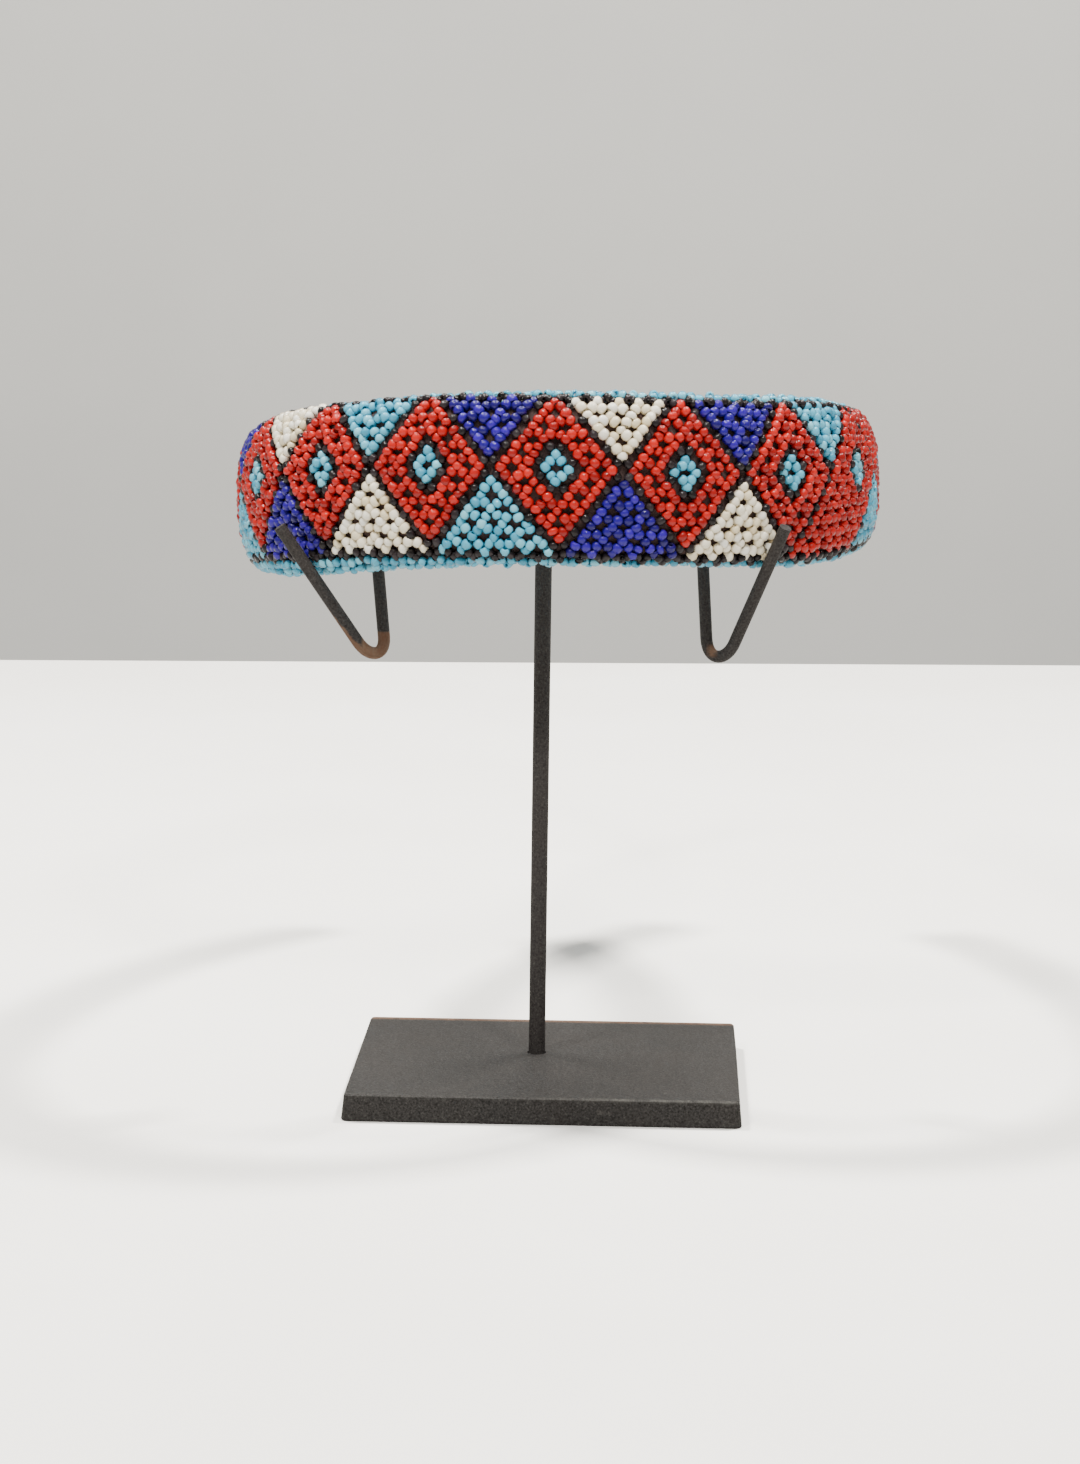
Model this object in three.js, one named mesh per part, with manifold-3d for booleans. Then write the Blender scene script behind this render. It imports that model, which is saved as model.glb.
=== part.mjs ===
// A padded, bead-netted headband on its iron display stand.
// Millimetres, +Z up. The origin is the centre of the base plate's underside, and the
// band's patterned front faces -Y.
//
// The band is a stuffed roll bent to a horseshoe, open at the back. Its section is an
// upright oval, flatter inside than outside, and a little lower round the sides. The bead
// net covers it as four skins: the patterned face, a black edge above and below it, and
// the turquoise lining, which wraps both rims, the inner side and the two ends.
//
// The roll hangs in two V hooks, bent from the ends of one wire. The wire's middle is
// welded across the back of a round post, and the post stands in the base plate.

import * as THREE from 'three';
import { mergeVertices } from 'three/addons/utils/BufferGeometryUtils.js';
import Module from 'manifold-3d';

const wasm = await Module();
wasm.setup();

// Clearance between pieces, and the distance within which shared points are welded.
const GAP = 0.3;
const WELD = 1e-4;

// Base plate, 4 1/2 by 3 1/2 by 5/16 inch across its top. Its sides spread towards the
// table, and the levels say how far each outline of the plate lies in from its foot.
const PLATE = { width: 116.2, depth: 89.6, thick: 7.94, corner: 2.2 };
const PLATE_LEVELS = [
  { height: PLATE.thick, inset: 1.3 },
  { height: PLATE.thick - 0.5, inset: 0.8 },
  { height: 0.4, inset: 0.0 },
  { height: 0.0, inset: 0.4 },
];

// Post, which leans a little to the right by an angle in radians, and the wire whose two
// ends are the hooks.
const POST = { x: -3.3, y: 5.6, lean: 0.005, radius: 2.5, top: 186.5, socketFloor: 1.6, sides: 24 };
const WIRE = { radius: 1.85, sides: 14 };

// Each hook from its open tip in front of the band, round the bend below it, up behind it
// and over the corner to the crossbar. The bend is a cubic curve, the corner a quadratic.
const HOOKS = {
  left: {
    tip: [-80.2, -0.6, 167.9],
    bend: [[-57.6, 4.0, 133.4], [-54.5, 4.6, 128.6], [-49.5, 5.7, 128.3], [-49.9, 5.8, 134.6]],
    corner: [[-53.9, 8.6, 178.0], [-54.3, 8.8, 184.0], [-48.1, 8.8, 184.0]],
  },
  right: {
    tip: [68.2, -9.8, 170.6],
    bend: [[54.3, 3.0, 134.7], [52.2, 3.9, 129.3], [46.6, 5.4, 128.1], [46.0, 5.6, 135.7]],
    corner: [[43.4, 8.5, 178.0], [43.1, 8.8, 184.0], [37.1, 8.8, 184.0]],
  },
};
const STRAIGHT_STEPS = 3;
const BEND_STEPS = 16;
const CORNER_STEPS = 8;

// Plan of the band along the crest of its rims: a round front, then on each side a wider
// arc that closes in towards the open back. Angles are headings, in radians from the
// middle of the front, and the wider arcs run from turn to end.
const FRONT_RADIUS = 91.7;
const ARMS = {
  left: { side: -1, radius: 209.1, turn: 1.549, end: 2.38 },
  right: { side: 1, radius: 253.9, turn: 1.455, end: 2.108 },
};

// The band hangs in the hooks with its back lower, leaning a little to one side. Its rims
// rise and fall in gentle waves, which fade out along the arms, and the right arm lifts.
const HANG = { x: -0.8, y: 71.0, z: 172.9, back: 0.1205, side: -0.044 };
const WAVES = [
  { turns: 2, cos: 0.21, sin: -0.76 },
  { turns: 3, cos: 0.47, sin: -0.31 },
];
const WAVE_FADE = { from: 0.96, over: 1.6 };
const RIGHT_LIFT = { from: 1.2, height: 5.8 };

// Section of the band. Arms of the oval from the rim's crest, and the power that squares
// it. Round the turns at the sides it loses a share of its height.
const SECTION = { outer: 8.9, inner: 7.0, half: 24.9, power: 2.37 };
const TAPER = { from: 0.9, to: 1.5, share: 0.13 };
const NET_THICK = 2.6;

// Facets: stations along the band, cells round the core and round each end wall, and
// cuts round each corner of the plate.
const STATIONS = 52;
const CORE_CELLS = 16;
const WALL_CELLS = 28;
const PLATE_CORNER_CUTS = 5;

// Where each skin lies round the section, in quarter turns of the oval from the middle of
// the outer face: 1 is the top crest, 2 the middle of the inner side, -1 the bottom crest.
const SKINS = {
  diamond_net: { from: -0.674, to: 0.831, cells: 10 },
  top_edge_rows: { from: 0.857, to: 1.051, cells: 2 },
  bottom_edge_rows: { from: -0.935, to: -0.696, cells: 2 },
  turquoise_lining: { from: 1.082, to: 3.043, cells: 13 },
};

const FINISH = {
  iron: { color: 0x3a3836, roughness: 0.72, metalness: 0.35 },
  cloth: { color: 0x1f1c1e, roughness: 0.95, metalness: 0.0 },
  red: { color: 0xc8342c, roughness: 0.3, metalness: 0.0 },
  black: { color: 0x1c1a1b, roughness: 0.2, metalness: 0.0 },
  turquoise: { color: 0x74c0d6, roughness: 0.3, metalness: 0.0 },
};

// A point of the section's oval, shrunk by an inset, at a number of quarter turns from
// the middle of the outer face.
function sectionPoint(inset, quarters) {
  const angle = (Math.PI / 2) * quarters;
  const [across, along] = [Math.cos(angle), Math.sin(angle)];
  const wide = (across > 0 ? SECTION.outer : SECTION.inner) - inset;
  const high = SECTION.half - inset;
  const squared = (v) => Math.sign(v) * Math.pow(Math.abs(v), 2 / SECTION.power);
  return { out: wide * squared(across), up: high * squared(along) };
}

// Heading at a distance along the crest line from the middle of the front.
function headingAt(distance) {
  const arm = distance < 0 ? ARMS.left : ARMS.right;
  const along = Math.abs(distance);
  const front = FRONT_RADIUS * arm.turn;
  if (along < front) return arm.side * (along / FRONT_RADIUS);
  return arm.side * (arm.turn + (along - front) / arm.radius);
}

function armLength(arm) {
  return FRONT_RADIUS * arm.turn + arm.radius * (arm.end - arm.turn);
}

// How far the section's middle rises above the plane of the band at a heading.
function liftAt(heading) {
  const h = Math.abs(heading);
  const fade = THREE.MathUtils.clamp(1 - (h - WAVE_FADE.from) / WAVE_FADE.over, 0, 1);
  const wave = WAVES.reduce(
    (sum, w) => sum + w.cos * Math.cos(w.turns * heading) + w.sin * Math.sin(w.turns * heading),
    0,
  );
  const past = Math.max(0, heading - RIGHT_LIFT.from);
  return wave * fade + RIGHT_LIFT.height * past * past;
}

// A point of the band: heading, offset outwards from the crest line, and height above the
// section's middle.
function bandPoint(heading, out, up) {
  const arm = heading < 0 ? ARMS.left : ARMS.right;
  const h = Math.abs(heading);
  const turn = Math.min(h, arm.turn);
  const past = Math.max(h, arm.turn);
  const front = FRONT_RADIUS + out;
  const wide = arm.radius + out;
  const x = arm.side * (front * Math.sin(turn) + wide * (Math.sin(past) - Math.sin(arm.turn)));
  const y = -front * Math.cos(turn) - wide * (Math.cos(past) - Math.cos(arm.turn));
  const height = 1 - TAPER.share * THREE.MathUtils.smoothstep(h, TAPER.from, TAPER.to);
  const point = new THREE.Vector3(x, y, up * height + liftAt(heading));
  point.applyAxisAngle(new THREE.Vector3(1, 0, 0), -HANG.back);
  point.applyAxisAngle(new THREE.Vector3(0, 1, 0), HANG.side);
  return point.add(new THREE.Vector3(HANG.x, HANG.y, HANG.z));
}

// A closed form through a row of rings with equal numbers of points. The flat outline
// says how the first and the last ring are filled.
function loft(rings, flat) {
  const index = [];
  const n = flat.length;
  const last = (rings.length - 1) * n;
  for (let start = 0; start < last; start += n) {
    for (let i = 0; i < n; i++) {
      const a = start + i;
      const b = start + ((i + 1) % n);
      index.push(a, b + n, b, a, a + n, b + n);
    }
  }
  for (const [a, b, c] of THREE.ShapeUtils.triangulateShape(flat, [])) {
    index.push(a, b, c);
    index.push(last + a, last + c, last + b);
  }
  const positions = rings.flat().flatMap((point) => point.toArray());
  const geometry = new THREE.BufferGeometry();
  geometry.setAttribute('position', new THREE.Float32BufferAttribute(positions, 3));
  geometry.setIndex(index);
  return geometry;
}

// A closed section carried along the band between two distances.
function sweepBand(section, from, to, stations) {
  const rings = Array.from({ length: stations + 1 }, (_, s) => {
    const heading = headingAt(from + ((to - from) * s) / stations);
    return section.map(({ out, up }) => bandPoint(heading, out, up));
  });
  return loft(rings, section.map(({ out, up }) => new THREE.Vector2(out, up)));
}

// Welds a closed geometry's shared points and makes it a solid.
function toSolid(geometry) {
  const bare = new THREE.BufferGeometry();
  bare.setAttribute('position', geometry.getAttribute('position'));
  bare.setIndex(geometry.getIndex());
  const merged = mergeVertices(bare, WELD);
  const vertProperties = new Float32Array(merged.attributes.position.array);
  const triVerts = new Uint32Array(merged.index.array);
  return new wasm.Manifold(new wasm.Mesh({ numProp: 3, vertProperties, triVerts }));
}

function toGeometry(solid) {
  const mesh = solid.getMesh();
  const points = new Float32Array(mesh.vertProperties);
  const corners = new Uint32Array(mesh.triVerts);
  const geometry = new THREE.BufferGeometry();
  geometry.setAttribute('position', new THREE.BufferAttribute(points, 3));
  geometry.setIndex(new THREE.BufferAttribute(corners, 1));
  return geometry;
}

// Full section of the band, shrunk by an inset.
function fullSection(inset, cells) {
  return Array.from({ length: cells }, (_, i) => sectionPoint(inset, (4 * i) / cells));
}

// Section of one skin: its outer side one way, its inner side back.
function skinSection({ from, to, cells }) {
  const steps = Array.from({ length: cells + 1 }, (_, i) => from + ((to - from) * i) / cells);
  const outerSide = steps.map((at) => sectionPoint(0, at));
  const innerSide = steps.reverse().map((at) => sectionPoint(NET_THICK, at));
  return [...outerSide, ...innerSide];
}

const LEFT_END = -armLength(ARMS.left);
const RIGHT_END = armLength(ARMS.right);

// The core and the skins stop short of the walls that close the two ends.
const INSET = NET_THICK + GAP;

function paddedCore() {
  const section = fullSection(INSET, CORE_CELLS);
  return sweepBand(section, LEFT_END + INSET, RIGHT_END - INSET, STATIONS);
}

function skin(name) {
  const section = skinSection(SKINS[name]);
  return sweepBand(section, LEFT_END + INSET, RIGHT_END - INSET, STATIONS);
}

// The lining's channel, closed at both ends of the roll by a wall of the full section.
function lining() {
  const section = skinSection(SKINS.turquoise_lining);
  const channel = toSolid(sweepBand(section, LEFT_END, RIGHT_END, STATIONS));
  const wall = fullSection(0, WALL_CELLS);
  const leftWall = toSolid(sweepBand(wall, LEFT_END, LEFT_END + NET_THICK, 1));
  const rightWall = toSolid(sweepBand(wall, RIGHT_END - NET_THICK, RIGHT_END, 1));
  return toGeometry(channel.add(leftWall).add(rightWall));
}

// Points round a rectangle with rounded corners, inset from the plate's foot.
function plateOutline(inset) {
  const [x, y] = [PLATE.width / 2 - PLATE.corner, PLATE.depth / 2 - PLATE.corner];
  const radius = PLATE.corner - inset;
  const shape = new THREE.Shape();
  shape.absarc(x, y, radius, 0, Math.PI / 2);
  shape.absarc(-x, y, radius, Math.PI / 2, Math.PI);
  shape.absarc(-x, -y, radius, Math.PI, Math.PI * 1.5);
  shape.absarc(x, -y, radius, Math.PI * 1.5, Math.PI * 2);
  return shape.getPoints(PLATE_CORNER_CUTS);
}

// The plate, with worn edges and a blind socket for the post.
function basePlate() {
  const rings = PLATE_LEVELS.map(({ height, inset }) =>
    plateOutline(inset).map((point) => new THREE.Vector3(point.x, point.y, height)),
  );
  const slab = loft(rings, plateOutline(0));
  const socket = upright(POST.radius + GAP, POST.socketFloor, 2 * PLATE.thick);
  return toGeometry(toSolid(slab).subtract(socket));
}

// A round bar on the post's leaning line, between two distances up it.
function upright(radius, low, high) {
  const post = new THREE.CylinderGeometry(radius, radius, high - low, POST.sides);
  post.rotateX(Math.PI / 2);
  post.translate(0, 0, (low + high) / 2);
  post.rotateY(POST.lean);
  post.translate(POST.x, POST.y, 0);
  return toSolid(post);
}

// A line joined from several curves, each of which gets its own number of steps.
class SteppedPath extends THREE.Curve {
  constructor(pieces) {
    super();
    this.pieces = pieces;
    this.steps = pieces.reduce((sum, piece) => sum + piece.steps, 0);
  }

  getPoint(t) {
    let step = t * this.steps;
    for (const piece of this.pieces) {
      if (step <= piece.steps) return piece.curve.getPoint(step / piece.steps);
      step -= piece.steps;
    }
    return this.pieces.at(-1).curve.getPoint(1);
  }

  getUtoTmapping(u) {
    return u;
  }
}

// One line down the middle of the wire, from the left tip to the right tip.
function wireRoute() {
  const at = (p) => new THREE.Vector3(...p);
  const line = (a, b) => ({ curve: new THREE.LineCurve3(at(a), at(b)), steps: STRAIGHT_STEPS });
  const bend = (points) => ({
    curve: new THREE.CubicBezierCurve3(...points.map(at)),
    steps: BEND_STEPS,
  });
  const corner = (points) => ({
    curve: new THREE.QuadraticBezierCurve3(...points.map(at)),
    steps: CORNER_STEPS,
  });
  const { left, right } = HOOKS;
  return new SteppedPath([
    line(left.tip, left.bend[0]),
    bend(left.bend),
    line(left.bend[3], left.corner[0]),
    corner(left.corner),
    line(left.corner[2], right.corner[2]),
    corner(right.corner.toReversed()),
    line(right.corner[0], right.bend[3]),
    bend(right.bend.toReversed()),
    line(right.bend[0], right.tip),
  ]);
}

// The post and the hook wire, welded to one piece.
function postAndHooks() {
  const round = new THREE.Shape();
  round.absarc(0, 0, WIRE.radius, 0, Math.PI * 2);
  const route = wireRoute();
  const wire = new THREE.ExtrudeGeometry(round, {
    steps: route.steps,
    extrudePath: route,
    bevelEnabled: false,
    curveSegments: WIRE.sides / 2,
  });
  return toGeometry(toSolid(wire).add(upright(POST.radius, POST.socketFloor + GAP, POST.top)));
}

const headband = new THREE.Group();

function addPiece(name, geometry, finish) {
  const mesh = new THREE.Mesh(geometry, new THREE.MeshStandardMaterial(FINISH[finish]));
  mesh.name = name;
  headband.add(mesh);
}

addPiece('base_plate', basePlate(), 'iron');
addPiece('post_and_hooks', postAndHooks(), 'iron');
addPiece('padded_core', paddedCore(), 'cloth');
addPiece('diamond_net', skin('diamond_net'), 'red');
addPiece('top_edge_rows', skin('top_edge_rows'), 'black');
addPiece('bottom_edge_rows', skin('bottom_edge_rows'), 'black');
addPiece('turquoise_lining', lining(), 'turquoise');

export default headband;
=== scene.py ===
# %% [markdown]
# # A beaded headband on its stand
#
# The headband is a stuffed roll, bent to a horseshoe and covered all over with a net of
# glass seed beads. Its front shows a row of red diamonds between triangles of cobalt,
# white and turquoise, and its rims, inner side and ends are turquoise. It hangs in the
# two wire hooks of a small iron stand.
#
# The net is the interesting part. A picture of beads wrapped round the roll would look
# flat from close by, so every bead here is real geometry. Eight thousand beads would be
# slow to place by hand, but a net is regular: each bead is one crossing of a lattice, so
# its place, its direction and its colour all follow from two whole numbers.

import bpy
import numpy as np
from mathutils import Matrix


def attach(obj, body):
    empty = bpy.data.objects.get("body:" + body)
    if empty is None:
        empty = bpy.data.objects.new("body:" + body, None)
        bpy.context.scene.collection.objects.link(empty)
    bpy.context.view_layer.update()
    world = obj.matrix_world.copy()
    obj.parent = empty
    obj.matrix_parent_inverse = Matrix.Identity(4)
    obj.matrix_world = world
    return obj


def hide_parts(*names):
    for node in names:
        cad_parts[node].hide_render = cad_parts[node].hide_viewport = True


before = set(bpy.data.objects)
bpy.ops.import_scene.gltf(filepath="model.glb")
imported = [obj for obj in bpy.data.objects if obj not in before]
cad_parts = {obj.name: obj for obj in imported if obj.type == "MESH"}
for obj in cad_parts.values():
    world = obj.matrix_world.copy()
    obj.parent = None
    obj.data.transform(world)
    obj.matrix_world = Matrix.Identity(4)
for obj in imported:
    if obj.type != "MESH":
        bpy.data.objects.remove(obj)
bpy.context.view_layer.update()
MM = 0.001
print("solids of the part:", ", ".join(sorted(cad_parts)))

# %% [markdown]
# ## Camera
#
# A long lens a metre away keeps the stand's lines nearly upright, as a close-up of a
# small object does. The camera looks down by ten degrees, is turned left by two and
# tipped by half a degree. It could be aimed with a Track To constraint, but three angles
# written as a matrix say exactly how it stands and need no target object.

# %% Camera
IMAGE_WIDTH = 1080
FOCAL_PIXELS = 3206.9
SENSOR_MM = 36.0
LOOK_DOWN, TIP, TURN = np.radians([9.767, 0.499, 2.223])
EYE = (0.0335, -0.9380, 0.2692)


def camera_matrix(eye, down, tip, turn):
    """Where a camera at eye stands, after looking down, tipping sideways and turning left.

    Level, it looks along +Y. Its right and up arms are mixed by the tip angle, and then
    everything turns about the upright axis.
    """
    ahead = np.array([0.0, np.cos(down), -np.sin(down)])
    up = np.array([0.0, np.sin(down), np.cos(down)])
    right = np.array([1.0, 0.0, 0.0])
    right, up = (
        np.cos(tip) * right + np.sin(tip) * up,
        np.cos(tip) * up - np.sin(tip) * right,
    )
    spin = np.array(
        [
            [np.cos(turn), -np.sin(turn), 0.0],
            [np.sin(turn), np.cos(turn), 0.0],
            [0.0, 0.0, 1.0],
        ]
    )
    stand = np.eye(4)
    stand[:3, 0] = spin @ right
    stand[:3, 1] = spin @ up
    stand[:3, 2] = -(spin @ ahead)
    stand[:3, 3] = eye
    return Matrix(stand.tolist())


camera_data = bpy.data.cameras.new("camera")
camera_data.sensor_fit = "HORIZONTAL"
camera_data.sensor_width = SENSOR_MM
camera_data.lens = FOCAL_PIXELS / IMAGE_WIDTH * SENSOR_MM
camera_data.clip_end = 20.0
camera = bpy.data.objects.new("camera", camera_data)
camera.matrix_world = camera_matrix(EYE, LOOK_DOWN, TIP, TURN)
bpy.context.collection.objects.link(camera)
bpy.context.scene.camera = camera
print("lens", round(camera_data.lens, 1), "mm")

# %% [markdown]
# ## Meshes from arrays
#
# Blender can make a mesh from Python lists, but the beads have nearly half a million
# points, and for those it is slow. `foreach_set` takes whole numpy arrays instead. The
# helper below also smooths the shading, because all that it makes is round or quite flat.


# %% Mesh helpers
def mesh_object(name, vertices, faces, material, point_values=None):
    """A smooth mesh object from an n by 3 array in millimetres and an m by k array of
    corners. point_values maps the name of an attribute to one number per vertex."""
    corners = faces.shape[1]
    mesh = bpy.data.meshes.new(name)
    mesh.vertices.add(len(vertices))
    mesh.vertices.foreach_set("co", (vertices * MM).astype(np.float32).ravel())
    mesh.loops.add(faces.size)
    mesh.loops.foreach_set("vertex_index", faces.astype(np.int32).ravel())
    mesh.polygons.add(len(faces))
    mesh.polygons.foreach_set("loop_start", np.arange(0, faces.size, corners, dtype=np.int32))
    mesh.polygons.foreach_set("use_smooth", np.ones(len(faces), dtype=bool))
    for key, values in (point_values or {}).items():
        layer = mesh.attributes.new(key, "FLOAT", "POINT")
        layer.data.foreach_set("value", np.asarray(values, dtype=np.float32))
    mesh.update(calc_edges=True)
    mesh.validate()
    mesh.materials.append(material)
    piece = bpy.data.objects.new(name, mesh)
    bpy.context.collection.objects.link(piece)
    return piece


def grid_faces(rows, columns, close_rows=False, close_columns=False):
    """The quads of a grid of points, row after row, joined round where it is closed."""
    r = np.arange(rows if close_rows else rows - 1)[:, None]
    c = np.arange(columns if close_columns else columns - 1)[None, :]
    r_next, c_next = (r + 1) % rows, (c + 1) % columns
    quads = [r * columns + c, r_next * columns + c]
    quads += [r_next * columns + c_next, r * columns + c_next]
    return np.stack(quads, axis=-1).reshape(-1, 4)


# %% [markdown]
# ## The shape of the band
#
# Every part of the band is found in the same way: by a heading, which says how far round
# the head it is, by a place round the oval section, and by a depth under the beads.
#
# Seen from above, the front of the band is part of a circle, and each arm behind it is
# part of a wider circle that starts where the first one stops. Because both are drawn by
# heading, moving a point outwards only makes both radii larger. The same numbers shape the
# solids of the part, so the beads lie where the solids are. A Blender curve with a bevel
# could give the same roll, but it wouldn't tell us where a bead's own direction is.

# %% Plan of the band
FRONT_RADIUS = 91.7
LEFT_ARM = {"side": -1.0, "radius": 209.1, "turn": 1.549, "end": 2.38}
RIGHT_ARM = {"side": 1.0, "radius": 253.9, "turn": 1.455, "end": 2.108}
HANG_AT = np.array([-0.8, 71.0, 172.9])
HANG_BACK, HANG_SIDE = 0.1205, -0.044
DROOP_WAVES = ((2, 0.21, -0.76), (3, 0.47, -0.31))
WAVES_END, FADE_OVER = 2.56, 1.6
RIGHT_RISE, RISE_FROM = 5.8, 1.2
HEIGHT_LOSS, LOSS_FROM, LOSS_OVER = 0.13, 0.9, 0.6


def by_side(heading, key):
    """One value of the left or right arm for each heading."""
    return np.where(heading < 0, LEFT_ARM[key], RIGHT_ARM[key])


def waves(heading, terms):
    """A sum of waves round the band. Each term says how many waves make a full turn, and
    how many millimetres its cosine and its sine add."""
    return sum(c * np.cos(n * heading) + s * np.sin(n * heading) for n, c, s in terms)


def lift(heading):
    """How far the band's middle rises at a heading: two gentle waves that fade out along
    the arms, and a growing rise of the right arm."""
    fade = np.clip((WAVES_END - np.abs(heading)) / FADE_OVER, 0.0, 1.0)
    rise = RIGHT_RISE * np.clip(heading - RISE_FROM, 0.0, None) ** 2
    return waves(heading, DROOP_WAVES) * fade + rise


def height_share(heading):
    """The share of its full height that the roll keeps: all in front, less round the sides,
    with a smooth step from one to the other."""
    t = np.clip((np.abs(heading) - LOSS_FROM) / LOSS_OVER, 0.0, 1.0)
    return 1.0 - HEIGHT_LOSS * t * t * (3.0 - 2.0 * t)


def band_point(heading, out, up):
    """The place of a point of the band. Its sideways and backwards distances are those on
    the front circle, plus what the arm's circle adds past the turn, and then the whole
    band is tipped back and to one side and put in the hooks."""
    heading, out, up = np.broadcast_arrays(heading, out, up)
    h = np.abs(heading)
    turn = by_side(heading, "turn")
    front = FRONT_RADIUS + out
    wide = by_side(heading, "radius") + out
    near, far = np.minimum(h, turn), np.maximum(h, turn)
    x = front * np.sin(near) + wide * (np.sin(far) - np.sin(turn))
    x = x * by_side(heading, "side")
    y = -front * np.cos(near) - wide * (np.cos(far) - np.cos(turn))
    z = up * height_share(heading) + lift(heading)
    y, z = (
        y * np.cos(HANG_BACK) + z * np.sin(HANG_BACK),
        z * np.cos(HANG_BACK) - y * np.sin(HANG_BACK),
    )
    x, z = (
        x * np.cos(HANG_SIDE) + z * np.sin(HANG_SIDE),
        z * np.cos(HANG_SIDE) - x * np.sin(HANG_SIDE),
    )
    return np.stack([x, y, z], axis=-1) + HANG_AT


# %% [markdown]
# The section is a squared-off oval, a superellipse: where a circle adds two squares to
# one, this adds two numbers to the power 2.37, which fills out its shoulders. Its outer
# half is fatter than its inner half. Beads are spaced along it by length, so a table of
# the length round the oval turns millimetres of net into a place on it.

# %% Section of the band
OUTER_HALF, INNER_HALF, HALF_HEIGHT = 8.9, 7.0, 24.9
SQUARENESS = 2.37
BEAD_DEPTH = 1.4


def section_table(inset, count=2001):
    """Points once round the oval, from the middle of the inner face and up over the outer
    one, and the length from the middle of the outer face to each, negative below it. Each
    half width of the oval is shrunk by the inset."""
    angle = np.linspace(-np.pi, np.pi, count)
    across, along = np.cos(angle), np.sin(angle)
    wide = np.where(across > 0, OUTER_HALF, INNER_HALF) - inset
    out = wide * np.sign(across) * np.abs(across) ** (2 / SQUARENESS)
    up = (HALF_HEIGHT - inset) * np.sign(along) * np.abs(along) ** (2 / SQUARENESS)
    length = np.concatenate([[0.0], np.cumsum(np.hypot(np.diff(out), np.diff(up)))])
    return out, up, length - length[count // 2]


BEAD_SECTION = section_table(BEAD_DEPTH)
ROUND_LENGTH = BEAD_SECTION[2][-1] - BEAD_SECTION[2][0]


def net_point(heading, around):
    """The place of a bead's centre: a heading, and a length round the section from the
    middle of the outer face, positive over the top."""
    out, up, length = BEAD_SECTION
    start = length[0]
    around = (around - start) % ROUND_LENGTH + start
    return band_point(heading, np.interp(around, length, out), np.interp(around, length, up))


print("length round the section", round(float(ROUND_LENGTH), 1), "mm")

# %% [markdown]
# ## Materials for glass beads
#
# Seed beads are opaque glass: one strong colour, a hard shine, and small differences from
# bead to bead because they come from different rods and batches. The shine is a clear
# coat over a slightly rougher body. Each bead carries a random number called `tint`, and
# a colour ramp turns it into a lighter, plainer or darker bead. Towards its outline each
# bead's colour is mixed by the angle into a darker one. This is painted shade for the glass
# that looks deeper where it curves away. A true glass shader would give this by itself but
# needs many more light paths. A fine noise dulls the shine in patches, as handling does.


# %% Bead material
def srgb(red, green, blue):
    """A colour read as 0 to 255, as Blender's linear numbers."""
    c = np.array([red, green, blue]) / 255.0
    linear = np.where(c <= 0.04045, c / 12.92, ((c + 0.055) / 1.055) ** 2.4)
    return (*linear.tolist(), 1.0)


def new_material(name):
    """A material with nodes, and its tree and main shader."""
    material = bpy.data.materials.new(name)
    material.use_nodes = True
    tree = material.node_tree
    return material, tree, tree.nodes["Principled BSDF"]


def noise(tree, scale, detail=4.0, roughness=0.55):
    """A noise on Object coordinates. Scale counts features per metre."""
    where = tree.nodes.new("ShaderNodeTexCoord")
    node = tree.nodes.new("ShaderNodeTexNoise")
    node.inputs["Scale"].default_value = scale
    node.inputs["Detail"].default_value = detail
    node.inputs["Roughness"].default_value = roughness
    tree.links.new(where.outputs["Object"], node.inputs["Vector"])
    return node.outputs["Fac"]


def ramp(tree, source, stops):
    """A smooth colour ramp with a list of (place, colour)."""
    node = tree.nodes.new("ShaderNodeValToRGB")
    node.color_ramp.interpolation = "EASE"
    marks = node.color_ramp.elements
    while len(marks) < len(stops):
        marks.new(0.5)
    for mark, (place, colour) in zip(marks, stops):
        mark.position = place
        mark.color = colour
    tree.links.new(source, node.inputs["Fac"])
    return node.outputs["Color"]


def value_range(tree, source, low, high, to_low, to_high):
    """A number carried from one range to another."""
    node = tree.nodes.new("ShaderNodeMapRange")
    limits = {"From Min": low, "From Max": high, "To Min": to_low, "To Max": to_high}
    for key, value in limits.items():
        node.inputs[key].default_value = value
    tree.links.new(source, node.inputs["Value"])
    return node.outputs["Result"]


def bump(tree, shader, height, strength, distance):
    """Small relief from a height between 0 and 1."""
    node = tree.nodes.new("ShaderNodeBump")
    node.inputs["Strength"].default_value = strength
    node.inputs["Distance"].default_value = distance
    tree.links.new(height, node.inputs["Height"])
    tree.links.new(node.outputs["Normal"], shader.inputs["Normal"])


def mix_colour(tree, share, first_colour, second_colour):
    """A blend of two colours by a share from 0 to 1. A colour may be a socket or a value."""
    node = tree.nodes.new("ShaderNodeMix")
    node.data_type = "RGBA"
    tree.links.new(share, node.inputs["Factor"])
    for key, value in (("A", first_colour), ("B", second_colour)):
        socket = [s for s in node.inputs if s.name == key and s.type == "RGBA"][0]
        if isinstance(value, bpy.types.NodeSocket):
            tree.links.new(value, socket)
        else:
            socket.default_value = value
    return [s for s in node.outputs if s.type == "RGBA"][0]


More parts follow.
